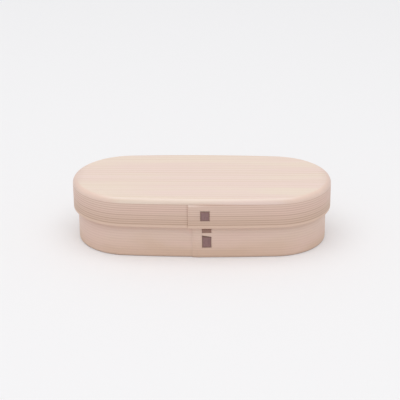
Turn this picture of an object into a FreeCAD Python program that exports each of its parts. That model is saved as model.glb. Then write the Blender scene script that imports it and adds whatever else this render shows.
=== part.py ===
"""A bentwood lunch box, in millimetres, +Z up.

Two hoops of thin cedar, each closed by a laced lap, with a board in the foot of one and over the top of the
other, and a loose divider.

The origin is the middle of the foot, on the surface that the box stands on. +X runs along the box, and the
laps are in the middle of its front, which faces -Y.
"""

import FreeCAD, Part
import os
import Sketcher

Vector = FreeCAD.Vector

# Every driving size, by the alias of its cell.
SIZES = (
    # The oval that the body hoop is bent to, on its outside: its long sides bow out a little.
    ("box_length", 218.4),
    ("box_width", 97.2),
    ("side_radius", 1010.0),
    # The body hoop and its foot board, which sits in a rabbet and stays clear of the table.
    ("body_height", 48.8),
    ("body_wall", 3.5),
    ("foot_rabbet", 1.2),
    ("foot_board", 5.0),
    ("foot_recess", 0.8),
    # The lid hoop slips over the body, its lap and its bark. The lid board's tongue drops into its top edge.
    ("lid_play", 0.38),
    ("lid_wall", 2.2),
    ("lid_skirt", 21.4),
    ("lid_rabbet", 0.9),
    ("lid_tongue", 2.0),
    ("lid_edge", 4.8),
    ("lid_edge_flat", 0.3),
    ("board_fit", 0.1),
    # Both laps: how far the ends overlap, and how far the outer end stands proud. To its right the proud side
    # draws back to the oval, and reaches it lap_margin before the bend.
    ("lap_length", 34.0),
    ("lap_step", 1.0),
    ("lap_margin", 10.0),
    ("glue_line", 0.1),
    ("body_lap_left", -6.8),
    ("lid_lap_left", -10.0),
    # The cherry bark strips that lace the laps through slits, set in from the outer end of each lap.
    ("bark_width", 7.9),
    ("bark_thick", 0.4),
    ("bark_play", 0.05),
    ("slit_play", 0.2),
    ("body_bark_in", 12.45),
    ("lid_bark_in", 14.35),
    # The lid's stitch keeps off the hoop's edges. The body's long stitch starts above the floor, and its
    # short one stops below the lid. Its tails inside are a share of the long stitch.
    ("lid_stitch_low", 7.05),
    ("lid_stitch_high", 5.9),
    ("lid_bark_end", 1.6),
    ("body_stitch_low", 4.0),
    ("body_stitch_high", 2.7),
    ("body_short_stitch", 3.15),
    ("body_stitch_gap", 3.8),
    ("body_tail_share", 0.8),
    # The divider stands between the long sides and jams where they have drawn in at divider_stop.
    ("divider_at", 30.0),
    ("divider_stop", 48.0),
    ("divider_thick", 3.0),
    ("divider_drop", 7.9),
    ("divider_play", 0.3),
    ("divider_round", 1.2),
)

# Values that follow from the sizes. The oval is four tangent arcs, and its parallels share their centres.
DERIVED = (
    ("side_centre", "dims.side_radius - dims.box_width / 2"),
    (
        "end_radius",
        "(dims.side_radius * dims.box_width - (dims.box_width ^ 2 + dims.box_length ^ 2) / 4)"
        " / (2 * dims.side_radius - dims.box_length)",
    ),
    ("end_centre", "dims.box_length / 2 - end_radius"),
    ("centre_gap", "dims.side_radius - end_radius"),
    # How far the lid hoop's inside and outside stand out from the body hoop's outside.
    ("lid_in", "dims.lap_step + dims.bark_thick + dims.bark_play + dims.lid_play"),
    ("lid_out", "lid_in + dims.lid_wall"),
    ("lap_end", "end_centre - dims.lap_margin"),
    # Heights above the table.
    ("floor_top", "dims.foot_recess + dims.foot_board"),
    ("lid_joint", "dims.body_height + dims.lid_tongue"),
    ("lid_low", "lid_joint - dims.lid_skirt"),
    ("lid_round", "dims.lid_edge - dims.lid_edge_flat"),
    # Slits take the bark's thickness with some play on both sides.
    ("slit_height", "dims.bark_thick + 2 * dims.slit_play"),
    ("slit_width", "dims.bark_width + 2 * dims.slit_play"),
    ("body_bark_at", "dims.body_lap_left + dims.body_bark_in"),
    ("lid_bark_at", "dims.lid_lap_left + dims.lid_bark_in"),
    # Heights of the slits: those of the lid are above its own lower edge.
    ("lid_slit_low", "dims.lid_stitch_low"),
    ("lid_slit_high", "dims.lid_skirt - dims.lid_stitch_high"),
    ("body_slit_low", "floor_top + dims.body_stitch_low"),
    ("body_slit_high", "lid_low - dims.body_stitch_high"),
    ("body_short_low", "body_slit_high - dims.body_short_stitch"),
    ("body_long_high", "body_short_low - dims.body_stitch_gap"),
    ("body_tail", "(body_long_high - body_slit_low) * dims.body_tail_share"),
    ("divider_low", "floor_top + dims.divider_play"),
    ("divider_height", "dims.body_height - dims.divider_drop - divider_low"),
)

doc = FreeCAD.newDocument("lunch_box")
dims = doc.addObject("Spreadsheet::Sheet", "dims")
derived = doc.addObject("Spreadsheet::Sheet", "derived")
probe = doc.addObject("Spreadsheet::Sheet", "probe")


def fill_sheets():
    """Write the driving sizes as plain numbers, and beside them the formulas for what follows from them."""
    for row, (alias, size) in enumerate(SIZES, start=1):
        dims.set(f"A{row}", alias)
        dims.set(f"B{row}", str(size))
        dims.setAlias(f"B{row}", alias)
    doc.recompute()
    for row, (alias, formula) in enumerate(DERIVED, start=1):
        derived.set(f"A{row}", alias)
        derived.set(f"B{row}", "=" + formula)
        derived.setAlias(f"B{row}", alias)
        doc.recompute()


def number(formula):
    """The value of a formula over the two sheets, worked out in a spare cell."""
    probe.set("A1", "=" + formula)
    probe.recompute()
    return float(probe.get("A1"))


def oval_corner(out, x_sign, y_sign):
    """Where a side arc meets an end arc, on the oval that lies `out` outside the body hoop's outside."""
    along = f"derived.end_centre * (dims.side_radius + {out}) / derived.centre_gap"
    across = f"derived.side_centre * (derived.end_radius + {out}) / derived.centre_gap"
    return f"{x_sign} * {along}", f"{y_sign} * {across}"


def front_point(out, x):
    """The point at x on the front side arc of the oval that lies `out` outside the body hoop's outside."""
    return x, f"derived.side_centre - sqrt((dims.side_radius + {out}) ^ 2 - ({x}) ^ 2)"


def side_arc(out):
    """The radius of a side arc of that oval."""
    return f"dims.side_radius + {out}"


def end_arc(out):
    """The radius of an end arc of that oval."""
    return f"derived.end_radius + {out}"


def oval(out):
    """The edges of a whole oval, anticlockwise: each is its first point and the radius of its arc."""
    return [
        (oval_corner(out, -1, -1), side_arc(out)),
        (oval_corner(out, 1, -1), end_arc(out)),
        (oval_corner(out, 1, 1), side_arc(out)),
        (oval_corner(out, -1, 1), end_arc(out)),
    ]


def rectangle(left, right, low, high):
    """The edges of a rectangle, anticlockwise. No radius means a straight edge."""
    return [((left, low), None), ((right, low), None), ((right, high), None), ((left, high), None)]


def lap_lip(lap_left):
    """How far a lap has drawn back at its inner end, which stands out as far on the inside."""
    return f"dims.lap_step * dims.lap_length / (derived.lap_end - {lap_left})"


def lap_start(out, lap_left):
    """The outer end of a lap, a lap_step proud of the oval."""
    return front_point(f"({out} + dims.lap_step)", lap_left), None


def lap_middle(out, lap_left):
    """The outer face of a lap where its inner end stops: the lap is as thick there as at its start."""
    proud = f"({out} + dims.lap_step - {lap_lip(lap_left)})"
    return front_point(proud, f"{lap_left} + dims.lap_length"), None


def lapped_hoop(out, wall, lap_left):
    """The plan of a hoop whose outside is `out`: one strip, its ends skived and lapped at the front.

    The outer end starts at lap_left. The inner end stops a lap_length to its right, with a lip on the inside.
    A negative radius turns clockwise.
    """
    lap_right = f"{lap_left} + dims.lap_length"
    inside = f"({out} - {wall})"
    outer_path = [
        lap_start(out, lap_left),
        lap_middle(out, lap_left),
        (front_point(out, "derived.lap_end"), side_arc(out)),
        (oval_corner(out, 1, -1), end_arc(out)),
        (oval_corner(out, 1, 1), side_arc(out)),
        (oval_corner(out, -1, 1), end_arc(out)),
        (oval_corner(out, -1, -1), side_arc(out)),
        (front_point(out, lap_left), None),
    ]
    inner_path = [
        (front_point(f"({inside} - dims.glue_line)", lap_right), None),
        (front_point(f"({inside} - {lap_lip(lap_left)})", lap_right), None),
        (front_point(inside, lap_left), f"-({side_arc(inside)})"),
        (oval_corner(inside, -1, -1), f"-({end_arc(inside)})"),
        (oval_corner(inside, -1, 1), f"-({side_arc(inside)})"),
        (oval_corner(inside, 1, 1), f"-({end_arc(inside)})"),
        (oval_corner(inside, 1, -1), f"-({side_arc(inside)})"),
        (front_point(inside, lap_right), None),
        (front_point(f"({out} + dims.glue_line)", lap_left), None),
    ]
    return outer_path + inner_path


def arc_between(start, end, radius):
    """The arc of under half a circle that turns anticlockwise from start to end."""
    chord = end - start
    half = chord.Length / 2
    rise = (radius**2 - half**2) ** 0.5
    centre = (start + end) / 2 + Vector(-chord.y, chord.x, 0).normalize() * rise
    axis = Vector(1, 0, 0)
    turn_from = axis.getAngle(start - centre) * (1 if start.y >= centre.y else -1)
    turn_to = axis.getAngle(end - centre) * (1 if end.y >= centre.y else -1)
    return Part.ArcOfCircle(Part.Circle(centre, Vector(0, 0, 1), radius), turn_from, turn_to)


def draw(body, name, plane, edges, height=None):
    """A sketch on one of the body's planes: every corner and radius is bound to its formula."""
    sketch = body.newObject("Sketcher::SketchObject", name)
    support = next(item for item in body.Origin.OriginFeatures if item.Role == plane)
    sketch.AttachmentSupport = [(support, "")]
    sketch.MapMode = "FlatFace"
    if height:
        sketch.setExpression("AttachmentOffset.Base.z", height)
    corners = [Vector(number(x), number(y), 0) for (x, y), radius in edges]
    first_ends = []
    for index, start in enumerate(corners):
        end = corners[(index + 1) % len(edges)]
        radius = edges[index][1]
        turn = number(radius) if radius else 0
        if not radius:
            sketch.addGeometry(Part.LineSegment(start, end))
        elif turn > 0:
            sketch.addGeometry(arc_between(start, end, turn))
        else:
            sketch.addGeometry(arc_between(end, start, -turn))
        first_ends.append(2 if turn < 0 else 1)
    for index, ((x, y), radius) in enumerate(edges):
        following = (index + 1) % len(edges)
        first, last = first_ends[index], 3 - first_ends[index]
        sketch.addConstraint(
            Sketcher.Constraint("Coincident", index, last, following, first_ends[following])
        )
        bind(sketch, f"x{index}", x, ("DistanceX", -1, 1, index, first))
        bind(sketch, f"y{index}", y, ("DistanceY", -1, 1, index, first))
        if radius:
            size = radius[1:] if radius.startswith("-") else radius
            bind(sketch, f"r{index}", size, ("Radius", index))
    doc.recompute()
    return sketch


def bind(sketch, name, formula, constraint):
    """Add a named dimension to a sketch and tie it to its formula."""
    place = sketch.addConstraint(Sketcher.Constraint(*constraint, number(formula)))
    sketch.renameConstraint(place, name)
    sketch.setExpression(f"Constraints.{name}", formula)


def new_body(label, lift=None):
    """An empty body, raised by a formula where it has one."""
    body = doc.addObject("PartDesign::Body", label)
    body.Label = label
    if lift:
        body.setExpression("Placement.Base.z", lift)
    return body


def pad(body, name, sketch, length, down=False, midplane=False):
    """Raise a sketch into a solid, or let it down, or thicken it to both sides."""
    feature = body.newObject("PartDesign::Pad", name)
    feature.Profile = sketch
    feature.Reversed = down
    feature.Midplane = midplane
    feature.setExpression("Length", length)
    doc.recompute()
    return feature


def pocket(body, name, sketch, length, away=False):
    """Sink a sketch into the solid, and stop if that took nothing away."""
    before = body.Shape.Volume
    feature = body.newObject("PartDesign::Pocket", name)
    feature.Profile = sketch
    feature.Reversed = away
    feature.setExpression("Length", length)
    doc.recompute()
    if not feature.Shape.Volume < before:
        raise RuntimeError(f"{name} cut nothing")
    return feature


def round_edges(body, name, base, height, radius):
    """Round the edges of a feature that lie at one height."""
    names = [f"Edge{i}" for i, edge in enumerate(base.Shape.Edges, start=1) if lies_at(edge, height)]
    if not names:
        raise RuntimeError(f"{name} found no edge")
    feature = body.newObject("PartDesign::Fillet", name)
    feature.Base = (base, names)
    feature.setExpression("Radius", radius)
    doc.recompute()
    return feature


def lies_at(edge, height):
    """Whether a whole edge lies at one height."""
    return max(abs(vertex.Z - height) for vertex in edge.Vertexes) < 1e-4


def cut_slits(body, name, at, heights):
    """Slits through the lap at the front, for the bark to pass."""
    half = "derived.slit_width / 2"
    for index, height in enumerate(heights):
        low = f"{height} - derived.slit_height / 2"
        high = f"{height} + derived.slit_height / 2"
        edges = rectangle(f"{at} - {half}", f"{at} + {half}", low, high)
        sketch = draw(body, f"{name}_outline_{index}", "XZ_Plane", edges)
        pocket(body, f"{name}_{index}", sketch, "dims.box_width", away=True)


# Heights of the slits in each hoop, from the lowest: two for each stitch.
LID_SLITS = ["derived.lid_slit_low", "derived.lid_slit_high"]
BODY_SLITS = [
    "derived.body_slit_low",
    "derived.body_long_high",
    "derived.body_short_low",
    "derived.body_slit_high",
]


def make_body_band():
    """The body hoop, with the rabbet that takes the foot board."""
    body = new_body("body_band")
    hoop = lapped_hoop("0", "dims.body_wall", "dims.body_lap_left")
    plan = draw(body, "body_plan", "XY_Plane", hoop)
    pad(body, "body_hoop", plan, "dims.body_height")
    seat_oval = oval("(dims.foot_rabbet - dims.body_wall)")
    seat = draw(body, "foot_rabbet_outline", "XY_Plane", seat_oval)
    pocket(body, "foot_rabbet_cut", seat, "derived.floor_top", away=True)
    cut_slits(body, "body_slit", "derived.body_bark_at", BODY_SLITS)
    return body


def make_foot_board():
    """The foot board, up against the shoulder of its rabbet."""
    body = new_body("foot_board", "dims.foot_recess")
    board_oval = oval("(dims.foot_rabbet - dims.body_wall - dims.board_fit)")
    outline = draw(body, "foot_outline", "XY_Plane", board_oval)
    pad(body, "foot_plate", outline, "dims.foot_board")
    return body


def make_lid_band():
    """The lid hoop, with the rabbet in its top edge that takes the lid board's tongue."""
    body = new_body("lid_band", "derived.lid_low")
    hoop = lapped_hoop("derived.lid_out", "dims.lid_wall", "dims.lid_lap_left")
    plan = draw(body, "lid_plan", "XY_Plane", hoop)
    pad(body, "lid_hoop", plan, "dims.lid_skirt")
    seat_oval = oval("(derived.lid_in + dims.lid_rabbet)")
    seat = draw(body, "lid_rabbet_outline", "XY_Plane", seat_oval, "dims.lid_skirt")
    pocket(body, "lid_rabbet_cut", seat, "dims.lid_tongue + dims.board_fit")
    cut_slits(body, "lid_slit", "derived.lid_bark_at", LID_SLITS)
    return body


def make_lid_board():
    """The lid board: a plate over the hoop's top edge, rounded over, with a tongue that fits the rabbet."""
    body = new_body("lid_board", "derived.lid_joint")
    outline = draw(body, "lid_outline", "XY_Plane", oval("derived.lid_out"))
    plate = pad(body, "lid_plate", outline, "dims.lid_edge")
    round_edges(body, "lid_round_over", plate, number("dims.lid_edge"), "derived.lid_round")
    tongue_oval = oval("(derived.lid_in + dims.lid_rabbet - dims.board_fit)")
    tongue = draw(body, "tongue_outline", "XY_Plane", tongue_oval)
    pad(body, "tongue_plate", tongue, "dims.lid_tongue", down=True)
    return body


def lace_outline(turns):
    """The edges of a strip of bark seen from its side, whose middle line goes squarely through the turns."""
    half = "dims.bark_thick / 2"
    steps = []
    for (y0, z0), (y1, z1) in zip(turns, turns[1:]):
        run, climb = number(y1) - number(y0), number(z1) - number(z0)
        steps.append((0, 1 if climb > 0 else -1) if abs(climb) > abs(run) else (1 if run > 0 else -1, 0))
    left, right = [], []
    for index, (y, z) in enumerate(turns):
        beside = steps[max(index - 1, 0) : index + 1]
        across = sum(-step[1] for step in beside)
        up = sum(step[0] for step in beside)
        left.append((f"{y} + ({across}) * {half}", f"{z} + ({up}) * {half}"))
        right.append((f"{y} - ({across}) * {half}", f"{z} - ({up}) * {half}"))
    return [(point, None) for point in left + right[::-1]]


def make_lacing(label, out, lap_left, at, turns, lift=None):
    """A strip of bark, standing square to the lap that it laces."""
    face_start = lap_start(out, lap_left)[0][1]
    face_end = lap_middle(out, lap_left)[0][1]
    slope = f"(({face_end}) - ({face_start})) / dims.lap_length"
    body = new_body(label, lift)
    body.setExpression("Placement.Base.x", at)
    body.setExpression("Placement.Base.y", f"{face_start} + ({at} - {lap_left}) * {slope}")
    body.Placement.Rotation = FreeCAD.Rotation(Vector(0, 0, 1), 0)
    body.setExpression("Placement.Rotation.Angle", f"atan({slope})")
    side = draw(body, f"{label}_side", "YZ_Plane", lace_outline(turns))
    pad(body, f"{label}_strip", side, "dims.bark_width", midplane=True)
    return body


def face_lines(wall):
    """Where the bark's middle line runs outside and inside a lap, from the lap's outer face inwards."""
    clear = "dims.bark_thick / 2 + dims.bark_play"
    return f"-({clear})", f"{wall} + dims.lap_step + {clear}"


def make_body_lacing():
    """The body's bark: a long and a short stitch outside, one between them inside, and a tail at each end."""
    outside, inside = face_lines("dims.body_wall")
    first, second, third, fourth = BODY_SLITS
    turns = [
        (inside, f"{first} + derived.body_tail"),
        (inside, first),
        (outside, first),
        (outside, second),
        (inside, second),
        (inside, third),
        (outside, third),
        (outside, fourth),
        (inside, fourth),
        (inside, f"{fourth} + derived.body_tail"),
    ]
    return make_lacing("body_bark_lacing", "0", "dims.body_lap_left", "derived.body_bark_at", turns)


def make_lid_lacing():
    """The lid's bark: one stitch outside, turned up inside at the lower end and trimmed at the upper end."""
    outside, inside = face_lines("dims.lid_wall")
    lower, upper = LID_SLITS
    turns = [
        (inside, f"{upper} - dims.lid_bark_end"),
        (inside, lower),
        (outside, lower),
        (outside, upper),
        (inside, upper),
        (inside, f"{upper} + dims.lid_bark_end"),
    ]
    return make_lacing(
        "lid_bark_lacing",
        "derived.lid_out",
        "dims.lid_lap_left",
        "derived.lid_bark_at",
        turns,
        "derived.lid_low",
    )


def make_divider():
    """The divider: a board across the box, as long as the inside is wide where it stands at the stop."""
    inner_side = "(dims.side_radius - dims.body_wall)"
    far_face = "(dims.divider_stop + dims.divider_thick / 2)"
    reach = f"sqrt({inner_side} ^ 2 - {far_face} ^ 2) - derived.side_centre - dims.divider_play"
    body = new_body("divider", "derived.divider_low")
    half = "dims.divider_thick / 2"
    plan = rectangle(f"dims.divider_at - {half}", f"dims.divider_at + {half}", f"-({reach})", reach)
    sketch = draw(body, "divider_plan", "XY_Plane", plan)
    board = pad(body, "divider_board", sketch, "derived.divider_height")
    round_edges(body, "divider_top_round", board, number("derived.divider_height"), "dims.divider_round")
    return body


def check_and_export(bodies):
    """Stop at anything that failed to build, and write each piece to its own file."""
    doc.recompute()
    for item in doc.Objects:
        if "Invalid" in item.State or "Error" in item.State:
            raise RuntimeError(f"{item.Name} failed to build: {item.State}")
    os.makedirs("parts", exist_ok=True)
    for body in bodies:
        shape = body.Shape
        if shape.isNull() or not shape.isValid() or len(shape.Solids) != 1:
            raise RuntimeError(f"{body.Label} isn't one valid solid")
        shape.exportStep(f"parts/{body.Label}.step")
        print(f"{body.Label}: {shape.Volume:.1f} mm3, {len(shape.Faces)} faces, {shape.BoundBox}")


fill_sheets()
check_and_export(
    [
        make_body_band(),
        make_foot_board(),
        make_body_lacing(),
        make_lid_band(),
        make_lid_board(),
        make_lid_lacing(),
        make_divider(),
    ]
)
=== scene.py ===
"""A bentwood lunch box, dressed: two cedar hoops with laced laps, two boards, two bark strips, a divider.

Lengths are in metres. +X runs along the box, +Z is up, and the laps are in the middle of the front, which
faces -Y.
"""

import logging
import math
from abc import ABC, abstractmethod
from dataclasses import dataclass
from enum import Enum

import bmesh
import bpy
from mathutils import Matrix, Vector, noise


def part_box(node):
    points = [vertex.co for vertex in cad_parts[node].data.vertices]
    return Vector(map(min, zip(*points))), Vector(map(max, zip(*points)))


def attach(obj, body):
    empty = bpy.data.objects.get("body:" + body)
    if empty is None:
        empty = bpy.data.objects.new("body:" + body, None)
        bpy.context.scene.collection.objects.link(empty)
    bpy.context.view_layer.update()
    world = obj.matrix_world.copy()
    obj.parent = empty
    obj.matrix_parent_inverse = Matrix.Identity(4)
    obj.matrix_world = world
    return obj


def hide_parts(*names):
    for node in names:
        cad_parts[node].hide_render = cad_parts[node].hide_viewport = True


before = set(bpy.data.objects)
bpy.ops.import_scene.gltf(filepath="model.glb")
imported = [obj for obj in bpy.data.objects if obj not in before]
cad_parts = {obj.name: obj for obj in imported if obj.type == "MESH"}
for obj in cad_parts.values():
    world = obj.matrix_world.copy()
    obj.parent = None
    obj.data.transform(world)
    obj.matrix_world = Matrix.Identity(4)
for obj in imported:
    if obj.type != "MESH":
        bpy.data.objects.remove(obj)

log = logging.getLogger("lunch_box")

MM = 0.001
ALONG = Vector((1, 0, 0))
UP = Vector((0, 0, 1))

# Edges that turn more than these angles are shaded sharp, or are taken for square corners.
SHARP_ANGLE = math.radians(40)
SQUARE_ANGLE = math.radians(60)

# Points nearer than these are taken for one where a mesh is cut, or where an outline closes.
CUT_DISTANCE = 0.002 * MM
MERGE_DISTANCE = 0.01 * MM

# The attribute that keeps each point's place on a strip before it is bent or set in place.
STRIP = "strip"

# Noise: its middle value, and how far it is refined.
NOISE_MIDDLE = 0.5
SOFT_DETAIL = 2.0
FINE_DETAIL = 3.0

# Sockets of a Mix node that mixes colours.
MIX_SHARE = 0
MIX_FIRST = 6
MIX_SECOND = 7
MIX_RESULT = 2

Colour = tuple[float, float, float]
Waves = tuple[float, float, float]
Span = tuple[float, float]


class Ride(Enum):
    """The bodies that pieces ride on."""

    BOX_BODY = "box_body"
    LID = "lid"
    DIVIDER = "divider"


class Slot(Enum):
    """The material slots of the record."""

    BAND = "cedar_band"
    BOARD = "cedar_board"
    BARK = "cherry_bark"


class Grain(Enum):
    """The axis that a board's grain runs along, with the axis across its face."""

    ALONG_BOX = ("X", "Y")
    ACROSS_BOX = ("Y", "Z")


class Channel:
    """One output of a shader node. Python's operators on it add Math nodes."""

    def __init__(self, graph: "Graph", socket: bpy.types.NodeSocket) -> None:
        """Hold the socket and the graph that it is in."""
        self.graph = graph
        self.socket = socket

    def output(self, key: str | int) -> "Channel":
        """Another output of the same node."""
        return Channel(self.graph, self.socket.node.outputs[key])

    def math(self, operation: str, *others: "Channel | float") -> "Channel":
        """A Math node that starts from this value."""
        return self.graph.add("ShaderNodeMath", {"operation": operation}, dict(enumerate((self, *others))))

    def __add__(self, other: "Channel | float") -> "Channel":
        """The sum."""
        return self.math("ADD", other)

    __radd__ = __add__

    def __sub__(self, other: "Channel | float") -> "Channel":
        """The difference."""
        return self.math("SUBTRACT", other)

    def __rsub__(self, other: float) -> "Channel":
        """The difference from a number."""
        return self.graph.add("ShaderNodeMath", {"operation": "SUBTRACT"}, {0: other, 1: self})

    def __mul__(self, other: "Channel | float") -> "Channel":
        """The product."""
        return self.math("MULTIPLY", other)

    __rmul__ = __mul__

    def __truediv__(self, other: "Channel | float") -> "Channel":
        """The quotient."""
        return self.math("DIVIDE", other)

    def __abs__(self) -> "Channel":
        """The size without its sign."""
        return self.math("ABSOLUTE")

    def rise(self, low: float, high: float) -> "Channel":
        """Make a soft step.

        Args:
            low: The value at which the step is 0.
            high: The value at which it is 1, which may be below low.

        Returns:
            The step.
        """
        if low > high:
            return 1 - self.rise(high, low)
        sockets = {"Value": self, "From Min": low, "From Max": high}
        return self.graph.add("ShaderNodeMapRange", {"interpolation_type": "SMOOTHSTEP"}, sockets)

    def near(self, edge: float, reach: float, full: float) -> "Channel":
        """1 within the part full of a reach below an edge (above it if negative), and 0 outside the reach."""
        return self.rise(edge - reach, edge - reach * full)

    def spread(self, low: float, high: float) -> "Channel":
        """A value from 0 to 1 spread out from low to high."""
        return self * (high - low) + low


class Graph:
    """A node tree that is written as expressions."""

    def __init__(self, tree: bpy.types.NodeTree) -> None:
        """Start with an empty tree."""
        self.tree = tree
        tree.nodes.clear()

    def add(
        self,
        kind: str,
        settings: dict[str, object] | None = None,
        sockets: dict[str | int, object] | None = None,
        output: str | int = 0,
    ) -> Channel | None:
        """Add a node.

        Args:
            kind: The node's type.
            settings: Its properties, which are set first.
            sockets: The value or the channel for each of its inputs.
            output: The output that is wanted.

        Returns:
            That output, or nothing where the node has none.
        """
        node = self.tree.nodes.new(kind)
        for name, value in (settings or {}).items():
            setattr(node, name, value)
        for key, value in (sockets or {}).items():
            if isinstance(value, Channel):
                self.tree.links.new(value.socket, node.inputs[key])
            else:
                node.inputs[key].default_value = value
        return Channel(self, node.outputs[output]) if len(node.outputs) else None

    def split(self, vector: Channel) -> tuple[Channel, Channel, Channel]:
        """The three parts of a vector."""
        parts = self.add("ShaderNodeSeparateXYZ", {}, {0: vector})
        return parts.output("X"), parts.output("Y"), parts.output("Z")

    def noise(self, vector: Channel, waves: Waves, detail: float = SOFT_DETAIL) -> Channel:
        """Soft noise around one half, with its waves per metre along each axis."""
        place = self.add("ShaderNodeVectorMath", {"operation": "MULTIPLY"}, {0: vector, 1: waves})
        return self.add("ShaderNodeTexNoise", {}, {"Vector": place, "Scale": 1.0, "Detail": detail})

    def dice(self, number: Channel) -> Channel:
        """A steady chance value from 0 to 1 for each whole number."""
        return self.add("ShaderNodeTexWhiteNoise", {"noise_dimensions": "1D"}, {"W": number})

    def blend(
        self,
        first: Channel | Colour,
        second: Channel | Colour,
        share: Channel | float,
        way: str = "MIX",
    ) -> Channel:
        """Blend two colours.

        Args:
            first: The colour at a share of 0.
            second: The colour that is blended in.
            share: How much of the second colour shows.
            way: The Mix node's way of blending.

        Returns:
            The blended colour.
        """
        settings = {"data_type": "RGBA", "blend_type": way}
        sockets = {MIX_SHARE: share, MIX_FIRST: opaque(first), MIX_SECOND: opaque(second)}
        return self.add("ShaderNodeMix", settings, sockets, MIX_RESULT)

    def shade(self, colour: Channel, level: Channel | Colour) -> Channel:
        """A colour made lighter or darker by a level around 1, or by one for each of its parts."""
        return self.blend(colour, level, 1.0, "MULTIPLY")

    def seen(self) -> Channel:
        """Tell the camera's rays from those that carry light.

        Returns:
            1 where the camera sees a surface, also in a reflection or through glass, and otherwise 0.
        """
        path = self.add("ShaderNodeLightPath", {}, {}, "Is Camera Ray")
        mirrored = path.math("MAXIMUM", path.output("Is Glossy Ray"))
        return mirrored.math("MAXIMUM", path.output("Is Transmission Ray"))

    def surface(
        self, colour: Channel, roughness: Channel, relief: Channel, depth: float, sheen: float = 0.5
    ) -> Channel:
        """Make the shader of a surface.

        Args:
            colour: The base colour.
            roughness: The roughness.
            relief: The height of the fine relief, around 0 to 1.
            depth: The depth of that relief in metres.
            sheen: The specular level.

        Returns:
            The shader.
        """
        normal = self.add("ShaderNodeBump", {}, {"Strength": 1.0, "Distance": depth, "Height": relief})
        sockets = {
            "Base Color": colour,
            "Roughness": roughness,
            "Normal": normal,
            "Specular IOR Level": sheen,
        }
        return self.add("ShaderNodeBsdfPrincipled", {}, sockets)


def opaque(colour: Channel | Colour) -> Channel | tuple[float, float, float, float]:
    """A plain colour with its alpha, or a channel as it is."""
    return colour if isinstance(colour, Channel) else (*colour, 1.0)


@dataclass(frozen=True, kw_only=True)
class Finish(ABC):
    """A finish: `roughness` is the span of its roughness, and `relief` the depth of its fine relief."""

    name: str
    roughness: Span
    relief: float

    @abstractmethod
    def shader(self, graph: Graph) -> Channel:
        """The finish's shader, drawn in an empty graph."""

    def material(self) -> bpy.types.Material:
        """Make the material.

        Returns:
            The material.
        """
        material = bpy.data.materials.new(self.name)
        material.use_nodes = True
        graph = Graph(material.node_tree)
        graph.add("ShaderNodeOutputMaterial", {}, {"Surface": self.shader(graph)})
        return material


@dataclass(frozen=True, kw_only=True)
class Cedar(Finish):
    """Bare cedar, in which each growth ring ends in a dark line of late wood.

    A ring is `ring` wide. The rings lean by `slant` through the wood, and drift by up to half of `wander`
    rings. A line starts at the part `late_from` of its ring, is dark from `late_dark` to `late_stop`, and has
    at least the part `faintest` of the darkest line's tone. Waves are counted per metre, along the grain
    first.
    """

    ring: float
    line_share: float
    line_relief: float
    wander: float
    slant: float
    late_dark: float
    faintest: float
    drift_waves: Waves
    fibre_waves: Waves
    fibre_shade: Span
    blush_span: Span
    patch_waves: Waves = (9.0, 60.0, 60.0)
    late_from: float = 0.2
    late_stop: float = 0.88

    def late_lines(self, graph: Graph, wood: Channel, across: Channel, through: Channel) -> Channel:
        """Draw the lines of late wood.

        Args:
            graph: The graph to draw in.
            wood: The place in the wood, with the grain along X.
            across: The place across the rings.
            through: The place through the thickness.

        Returns:
            The lines, from 0 to 1.
        """
        drift = graph.noise(wood, self.drift_waves) - NOISE_MIDDLE
        phase = (across + through * self.slant) / self.ring + drift * self.wander
        growth = phase.math("FRACT")
        late = growth.rise(self.late_from, self.late_dark) * growth.rise(1.0, self.late_stop)
        return late * graph.dice(phase.math("FLOOR")).spread(self.faintest, 1.0)


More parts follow.
